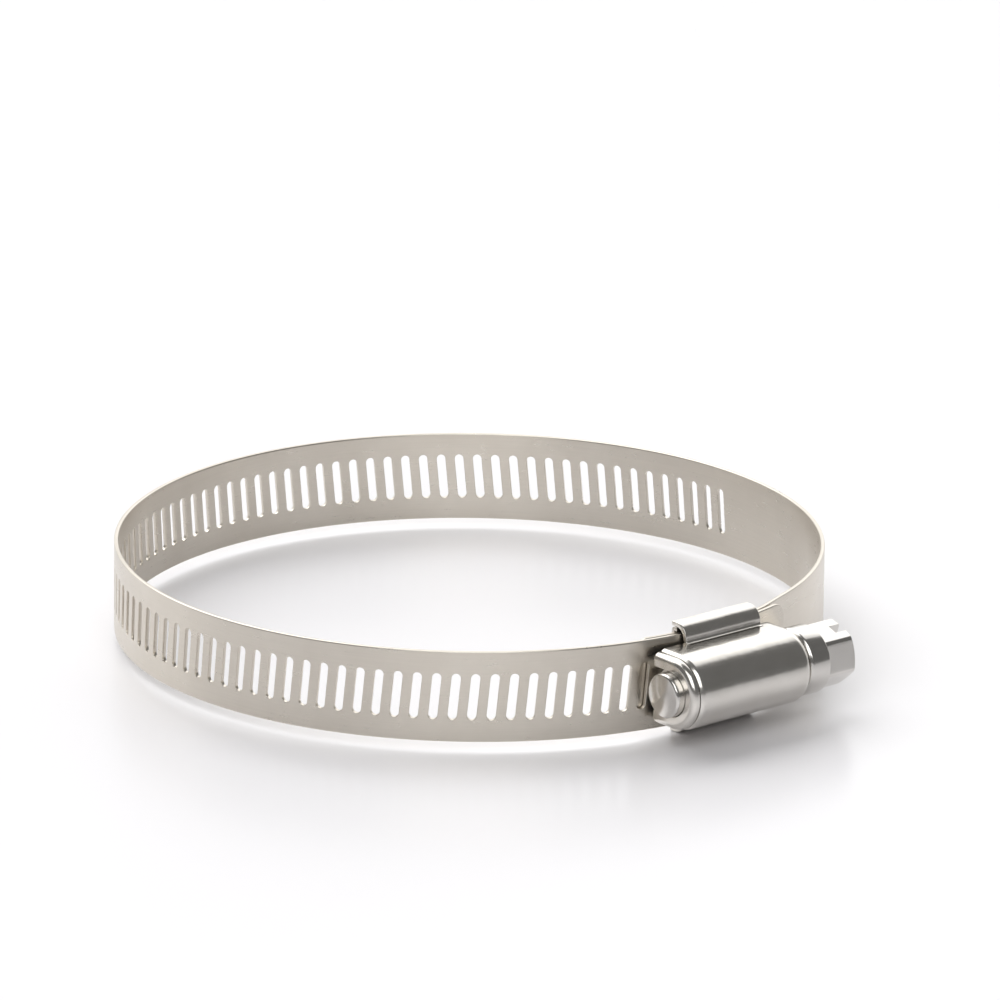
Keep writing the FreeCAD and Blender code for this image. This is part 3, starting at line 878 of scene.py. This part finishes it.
slot_x = -(((math.pi * FEED_R / PITCH) % 1) - 0.5) * PITCH
slot_x -= PITCH * round(slot_x / PITCH)
thread_start = slot_x - PITCH * math.floor((slot_x - THREAD_X[0]) / PITCH)
thread = from_tree("screw_thread", thread_tree, {
    "Lead": PITCH * MM, "Turns": (THREAD_X[1] - thread_start) / PITCH,
    "Radius": (THREAD_R - (THREAD_DEPTH + THREAD_SUNK) / 2) * MM,
    "Depth": (THREAD_DEPTH + THREAD_SUNK) * MM, "Root": THREAD_ROOT * MM, "Crest": THREAD_CREST * MM,
    "Start": (thread_start * MM, AXIS_Y * MM, 0.0), "Steel": screw_steel,
})
finish_mesh(thread, 50)
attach(thread, "screw")

# The hexagon, headed with the collar: cold heading leaves its six long edges well rounded. Its
# outer end is turned to a chamfer, and one slot for a flat blade is sawn across it.
HEX_CHAMFER = 0.45
HEX_EDGE_R = 0.7
HEAD_SOFT = 0.12            # the small rounding left on every sharp edge
CUTTER_LONG = 12            # the slot's cutter, longer than the hexagon is wide
corner_r = HEX_AF / math.sqrt(3)
end_r = corner_r - 2 * HEX_CHAMFER
root_x = HEX_X - 0.8
edge_far = (HEX_AF / 2 - HEX_EDGE_R) / math.cos(math.pi / 6)
outline = []
for k in range(6):
    corner_way = HEAD_TURN + k * math.pi / 3
    for i in range(9):
        a = corner_way + (i / 8 - 0.5) * math.pi / 3
        outline.append(Vector((0, edge_far * math.cos(corner_way) + HEX_EDGE_R * math.cos(a),
                               edge_far * math.sin(corner_way) + HEX_EDGE_R * math.sin(a))))
    far_way = corner_way + math.pi / 3
    a = corner_way + math.pi / 6
    next_edge = Vector((0, edge_far * math.cos(far_way) + HEX_EDGE_R * math.cos(a),
                        edge_far * math.sin(far_way) + HEX_EDGE_R * math.sin(a)))
    outline += [outline[-1].lerp(next_edge, i / 10) for i in range(1, 10)]
rings = [[], [], []]
for point in outline:
    shoulder_x = HEX_END - HEX_CHAMFER + (corner_r - point.length) / 2
    rings[0].append(tuple(screw_centre + point + axis_x * root_x))
    rings[1].append(tuple(screw_centre + point + axis_x * shoulder_x))
    rings[2].append(tuple(screw_centre + point.normalized() * end_r + axis_x * HEX_END))
points, faces = [], []
add_grid(points, faces, rings, closed_rows=True)
faces.append(tuple(range(len(outline))))
faces.append(tuple(2 * len(outline) + k for k in range(len(outline))))
head_source = mesh_object("head_source", points, faces)
bpy.context.scene.collection.objects.link(head_source)
cutter = bpy.data.objects.new("driver_slot", bpy.data.meshes.new("driver_slot"))
bpy.context.scene.collection.objects.link(cutter)
bm = bmesh.new()
bmesh.ops.create_cube(bm, size=1.0, matrix=Matrix.Translation(Vector((HEX_END, AXIS_Y, 0)) * MM)
                      @ Matrix.Rotation(HEAD_TURN, 4, "X")
                      @ Matrix.Diagonal((2 * DRIVE_DEPTH * MM, DRIVE_W * MM, CUTTER_LONG * MM, 1)))
bm.to_mesh(cutter.data)
bm.free()
for made in (head_source, cutter):
    bm = bmesh.new()
    bm.from_mesh(made.data)
    bmesh.ops.recalc_face_normals(bm, faces=bm.faces)
    for face in bm.faces:
        face.smooth = True
    bm.to_mesh(made.data)
    bm.free()
cut = head_source.modifiers.new("sawn", "BOOLEAN")
cut.object = cutter
cut.solver = "EXACT"
soft = head_source.modifiers.new("tumbled", "BEVEL")
soft.width = HEAD_SOFT * MM
soft.segments = 3
soft.limit_method = "ANGLE"
soft.angle_limit = math.radians(20)
soft.use_clamp_overlap = True
soft.harden_normals = True
depsgraph = bpy.context.evaluated_depsgraph_get()
head_data = bpy.data.meshes.new_from_object(head_source.evaluated_get(depsgraph))
for made in (cutter, head_source):
    bpy.data.objects.remove(made)
head = bpy.data.objects.new("screw_hexagon", head_data)
bpy.context.scene.collection.objects.link(head)
head_data.materials.append(screw_steel)
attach(head, "screw")

# ---------------------------------------------------------------------------------------------
# The floor, the soft studio light and the camera. The clamp lies on matt white acrylic and is
# seen from a long way off, a little above the band, from the housing's side.
FLOOR_Z = -7.8
FLOOR_REACH = 4000
LENS = 333.7
ROLL = math.radians(0.64)
AIM_RIGHT = 0.00403484      # metres from the clamp's centre to the middle of the view
AIM_UP = 0.01120557
CAMERA_SIDE = (-0.45, -0.89, 0)
BEHIND_LIGHT = 1.1
ROOM_LIGHT = 0.16


def white_floor():
    made = bpy.data.materials.new("matt_white_acrylic")
    made.use_nodes = True
    tree = made.node_tree
    tree.nodes.clear()
    body = node(tree, "ShaderNodeTexCoord").outputs["Object"]
    haze = node(tree, "ShaderNodeTexNoise", {"Scale": 14.0, "Detail": 3.0},
                {"Vector": body}).outputs["Fac"]
    tone = node(tree, "ShaderNodeMix", {"data_type": "RGBA", 6: linear("#F7F6F9"), 7: linear("#F9F8FA")},
                {0: haze}).outputs[2]
    rough = node(tree, "ShaderNodeMapRange", {3: 0.26, 4: 0.28}, {0: haze}).outputs[0]
    shader = node(tree, "ShaderNodeBsdfPrincipled", None, {"Base Color": tone, "Roughness": rough})
    node(tree, "ShaderNodeOutputMaterial", None, {"Surface": shader.outputs[0]})
    return made


floor_corners = [(x * FLOOR_REACH, y * FLOOR_REACH, FLOOR_Z)
                 for x, y in ((-1, -1), (1, -1), (1, 1), (-1, 1))]
floor = mesh_object("floor", floor_corners, [(0, 1, 2, 3)])
bpy.context.scene.collection.objects.link(floor)
floor.data.materials.append(white_floor())

toward = Vector((-0.643, -0.766, 0)).normalized()
to_right = Vector((-toward.y, toward.x, 0))
elevation = math.radians(18.04)
distance = 1.284
back = toward * math.cos(elevation) + Vector((0, 0, math.sin(elevation)))
up = Vector((0, 0, 1)) * math.cos(elevation) - toward * math.sin(elevation)
camera_data = bpy.data.cameras.new("camera")
camera_data.sensor_width = 36
camera_data.lens = LENS
camera = bpy.data.objects.new("camera", camera_data)
bpy.context.scene.collection.objects.link(camera)
camera.location = back * distance
aim = to_right * AIM_RIGHT + up * AIM_UP
look = (aim - camera.location).normalized()
turn = look.to_track_quat("-Z", "Y").to_matrix().to_4x4()
camera.matrix_world = Matrix.Translation(camera.location) @ turn @ Matrix.Rotation(ROLL, 4, "Z")
camera_data.clip_start, camera_data.clip_end = 0.05, 50
bpy.context.scene.camera = camera

world = bpy.data.worlds.new("studio")
bpy.context.scene.world = world
world.use_nodes = True
sky = world.node_tree
sky.nodes.clear()
direction = node(sky, "ShaderNodeTexCoord").outputs["Generated"]
facing = node(sky, "ShaderNodeVectorMath", {"operation": "DOT_PRODUCT", 1: CAMERA_SIDE},
              {0: direction})
# The camera itself sees white. The steel reflects a room that is white behind the clamp, and
# dark overhead and on the camera's side.
front = node(sky, "ShaderNodeMapRange",
             {"interpolation_type": "SMOOTHSTEP", 1: -0.55, 2: -0.15, 3: BEHIND_LIGHT, 4: ROOM_LIGHT},
             {0: facing.outputs["Value"]}).outputs[0]
seen = node(sky, "ShaderNodeLightPath").outputs["Is Camera Ray"]
brightness = node(sky, "ShaderNodeMix", {"data_type": "FLOAT", 3: 1.0}, {0: seen, 2: front}).outputs[0]
ambient = node(sky, "ShaderNodeBackground", {"Color": (1.0, 0.995, 0.985, 1)}, {"Strength": brightness})
node(sky, "ShaderNodeOutputWorld", None, {"Surface": ambient.outputs[0]})


def softbox(name, place, target, size, power):
    """A rectangular lamp in metres and watts that faces its target."""
    data = bpy.data.lights.new(name, "AREA")
    data.shape = "RECTANGLE"
    data.size, data.size_y = size
    data.energy = power
    lamp = bpy.data.objects.new(name, data)
    bpy.context.scene.collection.objects.link(lamp)
    lamp.location = place
    lamp.rotation_mode = "QUATERNION"
    lamp.rotation_quaternion = (Vector(target) - Vector(place)).to_track_quat("-Z", "Y")


softbox("overhead", (-0.1, 0.7, 1.0), (0, 0, 0), (1.5, 1.0), 8)
softbox("right_rear", (1.0, 0.5, 0.9), (0, 0, 0), (1.1, 1.1), 2.5)
softbox("front_fill", (-0.75, -0.85, 1.0), (0, 0, 0), (1.2, 1.2), 9.5)

bpy.context.scene.view_settings.view_transform = "Standard"
